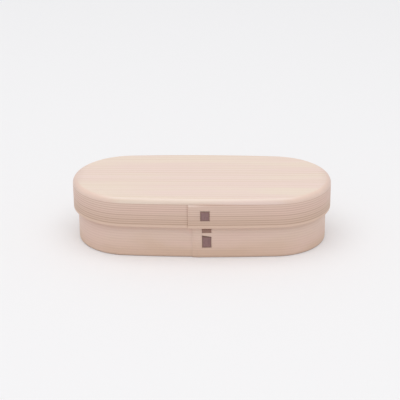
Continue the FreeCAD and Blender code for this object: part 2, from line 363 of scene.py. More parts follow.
@dataclass(frozen=True, kw_only=True)
class CedarBand(Cedar):
    """Cedar in a thin bent strip: its growth rings show as fine lines that follow the strip round the box.

    The strip is `perimeter` long once round, and its outer end is at the run `lap_left`. It turns from pink
    at the height `pink_from` to tan at `low`, its lower edge, which takes the tone `rim`; on the body that
    tone is painted shade where the foot meets the floor.
    Patches raise or lower the tan by up to half of `patch_lift`. From `lid_shadow_low` up, it turns by
    `lid_shadow_share` to the browner `lid_shadow`, a painted shade under the lid's overhang. At the outer
    end, the top edge at `high` is sanded pale and paled further by a painted highlight, and a line of painted
    shade lies beside the seam. An edge tone is full over the part `edge_full` of its height.
    """

    low: float
    high: float
    perimeter: float
    lap_left: float
    pink_from: float
    rim: Colour
    tan: Colour
    pale: Colour = (0.80, 0.60, 0.503)
    blush: Colour = (0.79, 0.567, 0.483)
    # Sanded wood, paled further by a painted highlight.
    sanded: Colour = (0.87, 0.68, 0.595)
    late_wood: Colour = (0.74, 0.65, 0.60)
    # Painted shade of the lid's overhang: a browner tone on the body's upper part.
    lid_shadow: Colour = (0.635, 0.44, 0.332)
    lid_shadow_low: float = 0.0
    lid_shadow_fade: float = 8.0 * MM
    lid_shadow_share: float = 0.0
    patch_lift: float = 12.0 * MM
    rim_height: float = 1.6 * MM
    rim_share: float = 0.75
    crest_run: float = 20.0 * MM
    crest_height: float = 2.6 * MM
    crest_highlight_share: float = 0.65
    edge_full: float = 0.25
    seam_width: float = 2.4 * MM
    seam_share: float = 0.08
    ring: float = 2.05 * MM
    line_share: float = 0.75
    line_relief: float = 0.5
    wander: float = 0.7
    slant: float = 0.35
    late_dark: float = 0.8
    faintest: float = 0.5
    drift_waves: Waves = (4.0, 90.0, 45.0)
    fibre_waves: Waves = (90.0, 3000.0, 3000.0)
    fibre_shade: Span = (0.95, 1.05)
    blush_span: Span = (0.35, 0.7)
    roughness: Span = (0.42, 0.62)
    relief: float = 0.04 * MM

    def shader(self, graph: Graph) -> Channel:
        """Draw the finish along the strip.

        Args:
            graph: The graph to draw in.

        Returns:
            The shader.
        """
        strip = graph.add("ShaderNodeAttribute", {"attribute_name": STRIP}, {}, "Vector")
        run, depth, height = graph.split(strip)
        line = self.late_lines(graph, strip, height, depth)
        fibre = graph.noise(strip, self.fibre_waves, FINE_DETAIL)
        patch = graph.noise(strip, self.patch_waves)
        tan = (height + (patch - NOISE_MIDDLE) * self.patch_lift).rise(self.pink_from, self.low)
        # On the body, the tone `rim` along the lower edge is painted shade where the foot meets the floor.
        rim = height.near(self.low, -self.rim_height, self.edge_full)
        # Painted highlight: the lap's sanded top edge is paled as if it caught light from above.
        crest = height.near(self.high, self.crest_height, self.edge_full)
        crest = crest * run.rise(self.lap_left + self.crest_run, self.lap_left)
        seam = abs(run - (self.perimeter + self.lap_left)).rise(self.seam_width, 0.0)
        colour = graph.blend(self.pale, self.blush, patch.rise(*self.blush_span))
        colour = graph.blend(colour, self.tan, tan)
        # Painted shade: the body turns browner where the lid's overhang shades it.
        if self.lid_shadow_share:
            lid_shadow = height.rise(self.lid_shadow_low, self.lid_shadow_low + self.lid_shadow_fade)
            colour = graph.blend(colour, self.lid_shadow, lid_shadow * self.lid_shadow_share)
        colour = graph.blend(colour, graph.shade(colour, self.late_wood), line * self.line_share)
        colour = graph.blend(colour, self.rim, rim * self.rim_share)
        colour = graph.blend(colour, self.sanded, crest * self.crest_highlight_share)
        colour = graph.shade(colour, fibre.spread(*self.fibre_shade) - seam * self.seam_share)
        relief = fibre + line * self.line_relief
        return graph.surface(colour, fibre.spread(*self.roughness), relief, self.relief)


@dataclass(frozen=True, kw_only=True)
class CedarBoard(Cedar):
    """Cedar in a planed board: faint straight lines along the grain, redder end grain and pale sanded edges.

    Its ends are at `half_length` from the middle, and are toned darker by `end_tone` over `end_fade`, the
    last part `end_full` of it fully. `end_span` is how far a surface faces along the grain where its end
    grain starts to show, and where it shows fully. `round_above` and `round_below` are how far the sanded
    edge faces up where it fades at its top and at its foot. That edge is paled by sanding and by a painted
    highlight.
    """

    half_length: float
    grain: Grain = Grain.ALONG_BOX
    pale: Colour = (0.835, 0.679, 0.567)
    line: Colour = (0.75, 0.567, 0.448)
    blush: Colour = (0.832, 0.641, 0.572)
    # Sanded wood, paled further by a painted highlight.
    sanded: Colour = (0.86, 0.715, 0.635)
    end_grain: Colour = (0.82, 0.61, 0.515)
    # A darker tone towards the ends.
    end_tone: Colour = (0.92, 0.905, 0.905)
    end_fade: float = 12.0 * MM
    end_full: float = 1 / 6
    end_span: Span = (0.03, 0.35)
    end_lines: float = 0.25
    round_above: Span = (0.98, 0.9)
    round_below: Span = (0.6, 0.82)
    sanded_highlight_share: float = 0.6
    ring: float = 4.6 * MM
    line_share: float = 0.75
    line_relief: float = 0.4
    wander: float = 2.6
    slant: float = 0.45
    late_dark: float = 0.85
    faintest: float = 0.2
    drift_waves: Waves = (2.5, 35.0, 35.0)
    fibre_waves: Waves = (60.0, 2400.0, 2400.0)
    fibre_shade: Span = (0.97, 1.03)
    blush_span: Span = (0.35, 0.65)
    roughness: Span = (0.22, 0.42)
    relief: float = 0.03 * MM

    def shader(self, graph: Graph) -> Channel:
        """Draw the finish along the board's grain.

        Args:
            graph: The graph to draw in.

        Returns:
            The shader.
        """
        along_axis, across_axis = self.grain.value
        coordinates = graph.add("ShaderNodeTexCoord", {}, {}, "Object")
        place = dict(zip("XYZ", graph.split(coordinates)))
        facing = dict(zip("XYZ", graph.split(coordinates.output("Normal"))))
        along = place.pop(along_axis)
        across = place.pop(across_axis)
        through = place.popitem()[1]
        wood = graph.add("ShaderNodeCombineXYZ", {}, {"X": along, "Y": across, "Z": through})
        line = self.late_lines(graph, wood, across, through)
        fibre = graph.noise(wood, self.fibre_waves, FINE_DETAIL)
        patch = graph.noise(wood, self.patch_waves)
        cut_end = abs(facing[along_axis]).rise(*self.end_span)
        # Painted highlight: where the round-over faces partly up, it is paled as if an overhead lamp glinted
        # on it.
        sanded_highlight = facing["Z"].rise(*self.round_above) * facing["Z"].rise(*self.round_below)
        # The board is toned darker towards its ends along the grain.
        end_tone = abs(along).near(self.half_length, self.end_fade, self.end_full)
        colour = graph.blend(self.pale, self.blush, patch.rise(*self.blush_span))
        colour = graph.blend(colour, self.line, line * (cut_end * self.end_lines + self.line_share))
        colour = graph.blend(colour, self.sanded, sanded_highlight * self.sanded_highlight_share)
        colour = graph.blend(colour, self.end_grain, cut_end)
        colour = graph.blend(colour, graph.shade(colour, self.end_tone), end_tone)
        colour = graph.shade(colour, fibre.spread(*self.fibre_shade))
        relief = fibre + line * self.line_relief
        return graph.surface(colour, fibre.spread(*self.roughness), relief, self.relief)


@dataclass(frozen=True, kw_only=True)
class CherryBark(Finish):
    """Polished cherry bark: dark mauve brown, with fine streaks along the strip and browner cut edges.

    `bends` are the heights at which the strip turns into the lap; near them it is darkened by painted shade.
    Above `bounce_from` it is a lighter brown: painted warm light, as bounced from the wood around it.
    """

    bends: tuple[float, ...]
    bounce_from: float
    # A lighter brown: painted warm light, as bounced from the wood around the short stitch.
    brown: Colour = (0.335, 0.19, 0.142)
    dark: Colour = (0.23, 0.125, 0.123)
    light: Colour = (0.29, 0.164, 0.16)
    edge: Colour = (0.205, 0.11, 0.076)
    half_width: float = 3.95 * MM
    bend_shade_reach: float = 1.4 * MM
    bounce_fade: float = 1.0 * MM
    bounce_share: float = 0.8
    edge_span: Span = (0.6, 1.0)
    edge_share: float = 0.7
    light_span: Span = (0.3, 0.7)
    streak_span: Span = (0.56, 0.74)
    streak_shade: Span = (1.03, 0.87)
    streak_relief: float = 0.6
    mottle_waves: Waves = (420.0, 420.0, 260.0)
    streak_waves: Waves = (2600.0, 2600.0, 240.0)
    roughness: Span = (0.3, 0.55)
    relief: float = 0.06 * MM

    def shader(self, graph: Graph) -> Channel:
        """Draw the finish along the strip.

        Args:
            graph: The graph to draw in.

        Returns:
            The shader.
        """
        strip = graph.add("ShaderNodeAttribute", {"attribute_name": STRIP}, {}, "Vector")
        across, _, height = graph.split(strip)
        mottle = graph.noise(strip, self.mottle_waves, FINE_DETAIL)
        streak = graph.noise(strip, self.streak_waves).rise(*self.streak_span)
        edge = (abs(across) / self.half_width).rise(*self.edge_span)
        # Painted shade: the bark darkens where it turns into its slits; the browner cut sides are its own
        # colour.
        for bend in self.bends:
            edge = edge.math("MAXIMUM", abs(height - bend).rise(self.bend_shade_reach, 0.0))
        # Painted light: above `bounce_from` the bark is a lighter, warmer brown, as if lit by light bounced
        # from the wood.
        brown = height.rise(self.bounce_from - self.bounce_fade, self.bounce_from)
        colour = graph.blend(self.dark, self.light, mottle.rise(*self.light_span))
        colour = graph.blend(colour, self.edge, edge * self.edge_share)
        colour = graph.blend(colour, self.brown, brown * self.bounce_share)
        colour = graph.shade(colour, streak.spread(*self.streak_shade))
        relief = mottle - streak * self.streak_relief
        return graph.surface(colour, mottle.spread(*self.roughness), relief, self.relief)


@dataclass(frozen=True, kw_only=True)
class StudioPaper(Finish):
    """Matt pale paper under the box, which the camera sees whitened a little."""

    tone: Colour = (0.918, 0.895, 0.908)
    shadow: Colour = (0.908, 0.885, 0.898)
    white: Colour = (0.922, 0.912, 0.92)
    white_share: float = 0.16
    tooth_waves: Waves = (900.0, 900.0, 900.0)
    sheen: float = 0.2
    roughness: Span = (0.9, 0.95)
    relief: float = 0.02 * MM

    def shader(self, graph: Graph) -> Channel:
        """Draw the finish.

        Args:
            graph: The graph to draw in.

        Returns:
            The shader.
        """
        place = graph.add("ShaderNodeTexCoord", {}, {}, "Object")
        tooth = graph.noise(place, self.tooth_waves)
        colour = graph.blend(self.tone, self.shadow, tooth)
        paper = graph.surface(colour, tooth.spread(*self.roughness), tooth, self.relief, self.sheen)
        white = graph.add("ShaderNodeEmission", {}, {"Color": opaque(self.white), "Strength": 1.0})
        share = graph.seen() * self.white_share
        return graph.add("ShaderNodeMixShader", {}, {0: share, 1: paper, 2: white})


@dataclass(frozen=True)
class Arc:
    """One arc of an oval, turning anticlockwise about its centre, with the steps that it is drawn in."""

    centre: Vector
    radius: float
    turn: float
    steps: int


@dataclass(frozen=True)
class Oval:
    """A long oval of four tangent arcs: two nearly straight sides and two round ends."""

    half_length: float
    half_width: float
    side_radius: float
    side_steps: int = 28
    end_steps: int = 72

    def parallel(self, out: float) -> "Oval":
        """The oval that lies that far outside this one."""
        return Oval(self.half_length + out, self.half_width + out, self.side_radius + out)

    @property
    def end_radius(self) -> float:
        """The radius of the round ends."""
        square = self.half_width**2 + self.half_length**2
        return (2 * self.side_radius * self.half_width - square) / (2 * (self.side_radius - self.half_length))

    @property
    def side_turn(self) -> float:
        """Half the angle that a side turns through."""
        end_centre = self.half_length - self.end_radius
        return math.atan2(end_centre, self.side_radius - self.half_width)

    @property
    def half_side(self) -> float:
        """The run from the front middle to the bend."""
        return self.side_radius * self.side_turn

    def arcs(self) -> list[Arc]:
        """Work out the four arcs.

        Returns:
            The front, right, back and left arcs, from the left end of the front.
        """
        side_centre = Vector((0, self.side_radius - self.half_width, 0))
        end_centre = Vector((self.half_length - self.end_radius, 0, 0))
        side = (self.side_radius, 2 * self.side_turn, self.side_steps)
        end = (self.end_radius, math.pi - 2 * self.side_turn, self.end_steps)
        return [
            Arc(side_centre, *side),
            Arc(end_centre, *end),
            Arc(-side_centre, *side),
            Arc(-end_centre, *end),
        ]

    @property
    def perimeter(self) -> float:
        """The run once round."""
        return sum(arc.radius * arc.turn for arc in self.arcs())

    def at(self, run: float) -> tuple[Vector, Vector]:
        """Find a point of the oval.

        Args:
            run: The distance along the oval from the front middle, towards +X.

        Returns:
            The point, and the outward direction there.
        """
        left = (run + self.half_side) % self.perimeter
        heading = -math.pi / 2 - self.side_turn
        for arc in self.arcs():
            if left <= arc.radius * arc.turn:
                break
            left -= arc.radius * arc.turn
            heading += arc.turn
        angle = heading + left / arc.radius
        outward = Vector((math.cos(angle), math.sin(angle), 0))
        return arc.centre + outward * arc.radius, outward

    def trace(self, bm: bmesh.types.BMesh, height: float) -> bmesh.types.BMFace:
        """Draw the oval as a flat face.

        Args:
            bm: The mesh to draw in, which is empty.
            height: The height to draw at.

        Returns:
            The face.
        """
        lift = UP * height
        start = self.at(-self.half_side)[0] + lift
        point = bmesh.ops.create_vert(bm, co=start)["vert"][0]
        for arc in self.arcs():
            centre = arc.centre + lift
            swept = bmesh.ops.spin(bm, geom=[point], cent=centre, axis=UP, angle=arc.turn, steps=arc.steps)
            point = first_of(swept["geom_last"], bmesh.types.BMVert)
        bmesh.ops.remove_doubles(bm, verts=bm.verts, dist=MERGE_DISTANCE)
        return bmesh.ops.edgeloop_fill(bm, edges=bm.edges)["faces"][0]


def all_of(bm: bmesh.types.BMesh) -> list:
    """Every vertex, edge and face."""
    return [*bm.verts, *bm.edges, *bm.faces]


def first_of(items: list, kind: type) -> bmesh.types.BMVert | bmesh.types.BMFace:
    """The first item of a kind."""
    return next(item for item in items if isinstance(item, kind))


def square_edges(bm: bmesh.types.BMesh) -> list[bmesh.types.BMEdge]:
    """The edges at which the surface turns a square corner, or nearly."""
    return [edge for edge in bm.edges if edge.calc_face_angle(0) > SQUARE_ANGLE]


def cut_across(bm: bmesh.types.BMesh, axis: Vector, place: float) -> None:
    """Add the edges where the plane across an axis, at a place along it, meets the mesh."""
    bmesh.ops.bisect_plane(bm, geom=all_of(bm), dist=CUT_DISTANCE, plane_co=axis * place, plane_no=axis)


def draw_out(bm: bmesh.types.BMesh, geometry: list, pace: Vector, steps: int) -> list:
    """Draw geometry out by a number of straight steps, and give what lies at the far end."""
    drawn = bmesh.ops.spin(bm, geom=geometry, axis=ALONG, angle=0, dvec=pace, steps=steps)
    return drawn["geom_last"]


def pull_face(bm: bmesh.types.BMesh, face: bmesh.types.BMFace, lift: float) -> bmesh.types.BMFace:
    """Pull a copy of a face up, or down where the lift is negative, with walls behind it.

    Args:
        bm: The mesh.
        face: The face, which stays where it is.
        lift: How far the copy goes.

    Returns:
        The copy.
    """
    pulled = bmesh.ops.extrude_face_region(bm, geom=[face])["geom"]
    tip = first_of(pulled, bmesh.types.BMFace)
    bmesh.ops.translate(bm, verts=tip.verts, vec=UP * lift)
    return tip


def ease_off(bm: bmesh.types.BMesh, items: list, width: float, steps: int, affect: str = "EDGES") -> None:
    """Round off edges, or the corners of a flat face.

    Args:
        bm: The mesh.
        items: The edges, or the vertices at the corners.
        width: The width to round off.
        steps: The steps of the rounding.
        affect: Which of the two the items are, in the bevel's own words.
    """
    bmesh.ops.bevel(
        bm,
        geom=items,
        offset=width,
        offset_type="OFFSET",
        affect=affect,
        segments=steps,
        profile=0.5,
        material=-1,
    )


def make_piece(bm: bmesh.types.BMesh, name: str) -> bpy.types.Object:
    """Turn a finished mesh into an object, smooth but for its sharp edges.

    Args:
        bm: The mesh, which is freed.
        name: The object's name.

    Returns:
        The object, at the origin.
    """
    bmesh.ops.recalc_face_normals(bm, faces=bm.faces)
    for face in bm.faces:
        face.smooth = True
    for edge in bm.edges:
        edge.smooth = edge.calc_face_angle(0) < SHARP_ANGLE
    mesh = bpy.data.meshes.new(name)
    bm.to_mesh(mesh)
    bm.free()
    piece = bpy.data.objects.new(name, mesh)
    bpy.context.scene.collection.objects.link(piece)
    return piece


def share_between(value: float, low: float, high: float) -> float:
    """How far a value has come from low to high, from 0 to 1."""
    return min(max((value - low) / (high - low), 0.0), 1.0)


def smooth_share(value: float, low: float, high: float) -> float:
    """The same with a soft start and end."""
    share = share_between(value, low, high)
    return share * share * (3 - 2 * share)


@dataclass(frozen=True)
class Slit:
    """A slit through a lap, by the middle of the bark in it.

    `gap` is the opening that shows above the bark, and `climb` how much the slit climbs for each metre to the
    right. The wood above and below leans with it as far as the first distance of `lean_reach`, and less and
    less up to the second. Beside the slit, the lean is gone at `lean_beside` times its half width.
    """

    run: float
    height: float
    gap: float = 0.0
    climb: float = 0.0
    half_width: float = 4.15 * MM
    half_bark: float = 0.26 * MM
    lean_reach: Span = (1.0 * MM, 3.4 * MM)
    lean_beside: float = 1.5

    @property
    def low(self) -> float:
        """Its lower edge."""
        return self.height - self.half_bark

    @property
    def high(self) -> float:
        """Its upper edge."""
        return self.height + self.half_bark + self.gap

    def lean(self, run: float, height: float) -> float:
        """Find how far the slit's climb raises a point near it.

        Args:
            run: The run at the point.
            height: The height of the point.

        Returns:
            The lift.
        """
        near = 1 - smooth_share(abs(height - self.height), *self.lean_reach)
        beside = 1 - smooth_share(abs(run - self.run), self.half_width, self.lean_beside * self.half_width)
        return self.climb * (run - self.run) * near * beside


@dataclass(frozen=True)
class Lap:
    """The lapped ends of a hoop at the front: the outer end is on the left and stands proud.

    The proud face is flat as far as the lap goes, on an oval whose sides have the radius `side_radius`, and
    draws back to the oval at `end`. The outer end is sanded thin over `skive`, down to `thin` of its step.
    `crest` is how far down its top edge is sanded off, to `feather` of its step, fading over `crest_run`.
    """

    left: float
    end: float
    side_radius: float
    skive: float
    thin: float
    crest: float
    feather: float = 0.12
    crest_run: float = 16.0 * MM
    length: float = 34.0 * MM
    step: float = 1.0 * MM
    glue: float = 0.1 * MM

    @property
    def right(self) -> float:
        """Where the inner end stops."""
        return self.left + self.length

    @property
    def lip(self) -> float:
        """How far the inner end stands out on the inside."""
        return self.step * self.length / (self.end - self.left)

    def proud(self, run: float, below_top: float) -> float:
        """Find how far the outer face stands proud of the oval.

        Args:
            run: The run from the front middle.
            below_top: The distance below the hoop's top edge.

        Returns:
            The distance.
        """
        fade = share_between(run, self.end, self.left)
        sanded = self.thin + (1 - self.thin) * smooth_share(run, self.left, self.left + self.skive)
        worn = share_between(run, self.left + self.crest_run, self.left)
        worn *= share_between(below_top, self.crest, 0)
        hollow = max((run - self.left) * (self.right - run), 0) / (2 * self.side_radius)
        return self.step * fade * sanded * (1 - worn * (1 - self.feather)) - hollow


@dataclass(frozen=True)
class Rabbet:
    """The step inside a hoop's edge that takes a board: the wall beside it, its lowest and its highest."""

    wall: float
    low: float
    high: float


@dataclass
class Hoop:
    """A strip of cedar, bent to an oval, its ends skived and lapped.

    Before it is bent, X is the run along the strip from the front middle, Y is the depth from its outer face
    and Z is the height. It is divided about every `station` of its run, at `clear` times the width of an
    eased edge, and at the parts `crest_cuts` and `skive_cuts` of the lap's sanded top and end. A slit goes
    through the faces that look outwards or inwards by more than `square_on`. At the tip of the outer end, the
    inner face stands out `end_part` as far as the outer one, but no further than the glue. Beside the rabbet,
    the strip keeps at least a `sliver` of its thickness.
    """

    name: str
    oval: Oval
    low: float
    high: float
    wall: float
    rabbet: Rabbet
    lap: Lap
    slits: list[Slit]
    ease: float
    top_ease: float
    foot_round: float
    ease_steps: int = 5
    station: float = 2.0 * MM
    crest_cuts: tuple[float, ...] = (0.5, 1.0)
    skive_cuts: tuple[float, ...] = (0.1, 0.25, 0.5, 0.75)
    clear: float = 1.3
    square_on: float = 0.9
    end_part: float = 0.4
    sliver: float = 0.05 * MM

    def build(self) -> bpy.types.Object:
        """Make the hoop.

        Returns:
            The finished hoop.
        """
        bm = bmesh.new()
        self.saw_strip(bm)
        self.divide(bm)
        self.cut_slits(bm)
        self.bend(bm)
        return make_piece(bm, self.name)

    def section(self) -> list[tuple[float, float, float]]:
        """Draw the strip's section, with its rabbet.

        Returns:
            The depth, height and easing of each corner.
        """
        inside, ease = self.rabbet.wall, self.ease
        foot = (0, self.low, self.foot_round)
        crown = (0, self.high, self.top_ease)
        if self.rabbet.low <= self.low:
            shoulder = self.rabbet.high
            step = [(inside, self.low, ease), (inside, shoulder, 0), (self.wall, shoulder, ease)]
            return [foot, *step, (self.wall, self.high, ease), crown]
        shoulder = self.rabbet.low
        step = [(self.wall, shoulder, ease), (inside, shoulder, 0), (inside, self.high, ease)]
        return [foot, (self.wall, self.low, ease), *step, crown]

    def saw_strip(self, bm: bmesh.types.BMesh) -> None:
        """Make the straight strip, eased along its edges.

        Args:
            bm: The mesh to make it in, which is empty.
        """
        section = self.section()
        corners = [bm.verts.new((self.lap.left, depth, height)) for depth, height, _ in section]
        bm.faces.new(corners)
        for corner, (_, _, width) in zip(corners, section):
            if width:
                ease_off(bm, [corner], width, self.ease_steps, "VERTICES")
        length = self.oval.perimeter + self.lap.length
        steps = round(length / self.station)
        draw_out(bm, all_of(bm), ALONG * (length / steps), steps)
        bmesh.ops.recalc_face_normals(bm, faces=bm.faces)

    def divide(self, bm: bmesh.types.BMesh) -> None:
        """Divide the strip where its eased edges, its rabbet and its sanded end need it.

        Args:
            bm: The straight strip.
        """
        levels = [self.low + self.clear * self.foot_round, self.high - self.clear * self.ease]
        levels += [self.rabbet.low, self.rabbet.high]
        levels += [self.high - self.lap.crest * part for part in self.crest_cuts]
        for level in levels:
            if self.low < level < self.high:
                cut_across(bm, UP, level)
        for part in self.skive_cuts:
            cut_across(bm, ALONG, self.lap.left + self.lap.skive * part)

    def cut_slits(self, bm: bmesh.types.BMesh) -> None:
        """Cut each slit through both ends of the strip.

        Args:
            bm: The straight strip.
        """
        for slit in self.slits:
            for level in (slit.low, slit.high):
                cut_across(bm, UP, level)
        for turn in (0, self.oval.perimeter):
            for side in (-1, 1):
                cut_across(bm, ALONG, turn + self.slits[0].run + side * self.slits[0].half_width)
            for slit in self.slits:
                self.open_slit(bm, slit, turn)

    def open_slit(self, bm: bmesh.types.BMesh, slit: Slit, turn: float) -> None:
        """Take out the faces over one slit and wall it in.

        Args:
            bm: The straight strip, already divided at the slit's edges.
            slit: The slit.
            turn: The run to add for the strip's inner end.
        """
        over = []
        for face in bm.faces:
            middle = face.calc_center_median()
            beside = abs(middle.x - turn - slit.run) < slit.half_width
            if beside and slit.low < middle.z < slit.high and abs(face.normal.y) > self.square_on:
                over.append(face)
        edges = {edge for face in over for edge in face.edges}
        rims = [edge for edge in edges if sum(face in over for face in edge.link_faces) == 1]
        bmesh.ops.delete(bm, geom=over, context="FACES")
        bmesh.ops.bridge_loops(bm, edges=[edge for edge in rims if edge.is_valid])

    def bend(self, bm: bmesh.types.BMesh) -> None:
        """Bend the strip round the oval, and keep each point's place on the straight strip for its grain.

        Args:
            bm: The straight strip.
        """
        strip = bm.verts.layers.float_vector.new(STRIP)
        for vert in bm.verts:
            run, depth, height = vert.co
            vert[strip] = vert.co
            lap_run = run - self.oval.perimeter if run > self.oval.perimeter / 2 else run
            lean = sum(slit.lean(lap_run, height) for slit in self.slits)
            point, outward = self.oval.at(run)
            vert.co = point - outward * self.skived(run, depth, height) + UP * (height + lean)

    def skived(self, run: float, depth: float, height: float) -> float:
        """Find how deep below the oval a point of the strip lies once the ends are skived and lapped.

        Args:
            run: The run along the strip.
            depth: The depth from the strip's outer face.
            height: The height.

        Returns:
            The depth from the oval.
        """
        lap = self.lap
        over = run - self.oval.perimeter
        if over < lap.left:
            outer = -lap.proud(run, self.high - height)
            thinnest = max(self.end_part * outer, -lap.glue)
            inner = thinnest + (self.wall - thinnest) * share_between(run, lap.left, lap.right)
        else:
            share = share_between(over, lap.left, lap.right)
            outer = (self.wall + lap.glue) * share
            inner = self.wall + lap.lip * share
        deep = outer + (inner - outer) * depth / self.wall
        if self.rabbet.low <= height <= self.rabbet.high:
            limit = self.rabbet.wall - self.sliver * (1 - depth / self.wall)
            deep = min(deep, limit)
        return deep


@dataclass
class Board:
    """An oval board. Its lower edge is eased, and its upper edge eased or rounded over.

    A flat face looks up or down by at least `level`, and has a narrow ring inside its edge.
    """

    name: str
    oval: Oval
    low: float
    high: float
    lower_ease: float
    upper_round: float
    round_steps: int
    tongue_in: float = 0.0
    tongue: float = 0.0
    ease_steps: int = 3
    ring: float = 1.2 * MM
    level: float = 0.99

    def build(self) -> bpy.types.Object:
        """Make the board.

        Returns:
            The finished board.
        """
        bm = bmesh.new()
        upper = pull_face(bm, self.oval.trace(bm, self.low), self.high - self.low)
        bmesh.ops.recalc_face_normals(bm, faces=bm.faces)
        ease_off(bm, upper.edges[:], self.upper_round, self.round_steps)
        self.set_ring(bm, 1)
        ease_off(bm, self.flat_face(bm, -1).edges[:], self.lower_ease, self.ease_steps)
        self.set_ring(bm, -1)
        if self.tongue:
            self.add_tongue(bm)
        return make_piece(bm, self.name)

    def flat_face(self, bm: bmesh.types.BMesh, side: int) -> bmesh.types.BMFace:
        """The large flat face that looks up (1) or down (-1)."""
        flat = [face for face in bm.faces if face.normal.z * side > self.level]
        return max(flat, key=lambda face: face.calc_area())

    def set_ring(self, bm: bmesh.types.BMesh, side: int) -> None:
        """Set a narrow ring inside a flat face, so that its shading stays flat."""
        face = self.flat_face(bm, side)
        bmesh.ops.inset_region(bm, faces=[face], thickness=self.ring, use_even_offset=True)

    def add_tongue(self, bm: bmesh.types.BMesh) -> None:
        """Let the tongue down from the lower face, with no face left between them.

        Args:
            bm: The board.
        """
        face = self.flat_face(bm, -1)
        inset = self.tongue_in - self.lower_ease - self.ring
        bmesh.ops.inset_region(bm, faces=[face], thickness=inset, use_even_offset=True)
        tip = pull_face(bm, face, -self.tongue)
        bmesh.ops.delete(bm, geom=[face], context="FACES_ONLY")
        ease_off(bm, tip.edges[:], self.lower_ease, self.ease_steps)
        self.set_ring(bm, -1)


@dataclass
class Lacing:
    """A strip of bark that laces a lap through its slits.

    It is made with X across it, Y the depth below the lap's outer face and Z the height, and then set against
    the lap. Its cut edges are ragged by up to `ragged`, in waves that are counted per metre, and the higher
    `ragged_power` is, the closer to the edge they stay.
    """

    name: str
    turns: list[Span]
    width: float
    thick: float
    slits: list[Slit]
    across_steps: int = 12
    through_steps: int = 2
    step: float = 0.8 * MM
    bend_radius: float = 0.45 * MM
    bend_steps: int = 5
    ease: float = 0.08 * MM
    ease_steps: int = 2
    dome: float = 0.05 * MM
    ragged: float = 0.12 * MM
    ragged_waves: Waves = (300.0, 200.0, 420.0)
    ragged_power: int = 6

    def build(self, place: Matrix) -> bpy.types.Object:
        """Make the strip.

        Args:
            place: Where the lap's outer face is at the strip's middle.

        Returns:
            The finished strip.
        """
        bm = bmesh.new()
        self.sweep(bm)
        ease_off(bm, square_edges(bm), self.ease, self.ease_steps)
        self.wear(bm)
        strip = bm.verts.layers.float_vector.new(STRIP)
        for vert in bm.verts:
            vert[strip] = vert.co
        bmesh.ops.transform(bm, matrix=place, verts=bm.verts)
        return make_piece(bm, self.name)

    def sweep(self, bm: bmesh.types.BMesh) -> None:
        """Draw the strip's section along its turns, with a small bend at each.

        Args:
            bm: The mesh to draw in, which is empty.
        """
        points = [Vector((0, *turn)) for turn in self.turns]
        headings = [(after - before).normalized() for before, after in zip(points, points[1:])]
        size = Matrix.Diagonal((self.width, self.thick, 1, 1))
        start = Matrix.Translation(points[0]) @ size
        bmesh.ops.create_grid(
            bm, x_segments=self.across_steps, y_segments=self.through_steps, size=0.5, matrix=start
        )
        tip = all_of(bm)
        final = len(headings) - 1
        for index, heading in enumerate(headings):
            bends = (index > 0) + (index < final)
            length = (points[index + 1] - points[index]).length - self.bend_radius * bends
            steps = max(1, round(length / self.step))
            tip = draw_out(bm, tip, heading * length / steps, steps)
            if index < final:
                tip = self.turn_corner(bm, tip, points[index + 1], (heading, headings[index + 1]))
        bmesh.ops.recalc_face_normals(bm, faces=bm.faces)

    def turn_corner(
        self, bm: bmesh.types.BMesh, tip: list, corner: Vector, headings: tuple[Vector, Vector]
    ) -> list:
        """Bend the strip round a square corner.

        Args:
            bm: The mesh.
            tip: The section at the end of the strip so far.
            corner: The corner of the strip's middle line.
            headings: The directions before and after it.

        Returns:
            The section after the bend.
        """
        before, after = headings
        centre = corner - before * self.bend_radius + after * self.bend_radius
        axis = before.cross(after)
        bent = bmesh.ops.spin(bm, geom=tip, cent=centre, axis=axis, angle=math.pi / 2, steps=self.bend_steps)
        return bent["geom_last"]

    def wear(self, bm: bmesh.types.BMesh) -> None:
        """Make the cut edges a little ragged, dome the stitches outside, and lean with the slits.

        Args:
            bm: The strip.
        """
        for vert in bm.verts:
            across, depth, height = vert.co
            edge = across / (self.width / 2)
            place = Vector([part * waves for part, waves in zip(vert.co, self.ragged_waves)])
            vert.co.x += self.ragged * abs(edge) ** self.ragged_power * noise.noise(place)
            if depth < 0:
                vert.co.y += self.dome * edge**2
            vert.co.z += sum(slit.lean(slit.run + across, height) for slit in self.slits)


@dataclass
class SubAssembly:
    """Pieces that ride on one body."""

    body: Ride

    def dress(self, piece: bpy.types.Object, node: str, slot: Slot, finish: Finish) -> None:
        """Give a piece its finish, and set it in place of its node.

        Args:
            piece: The piece.
            node: The node that it stands for.
            slot: The record's slot for its finish; not used.
            finish: Its finish.
        """
        piece.data.materials.append(finish.material())
        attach(piece, self.body.value)
        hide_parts(node)
        log.info("%s stands for %s and rides on %s", piece.name, node, self.body.value)


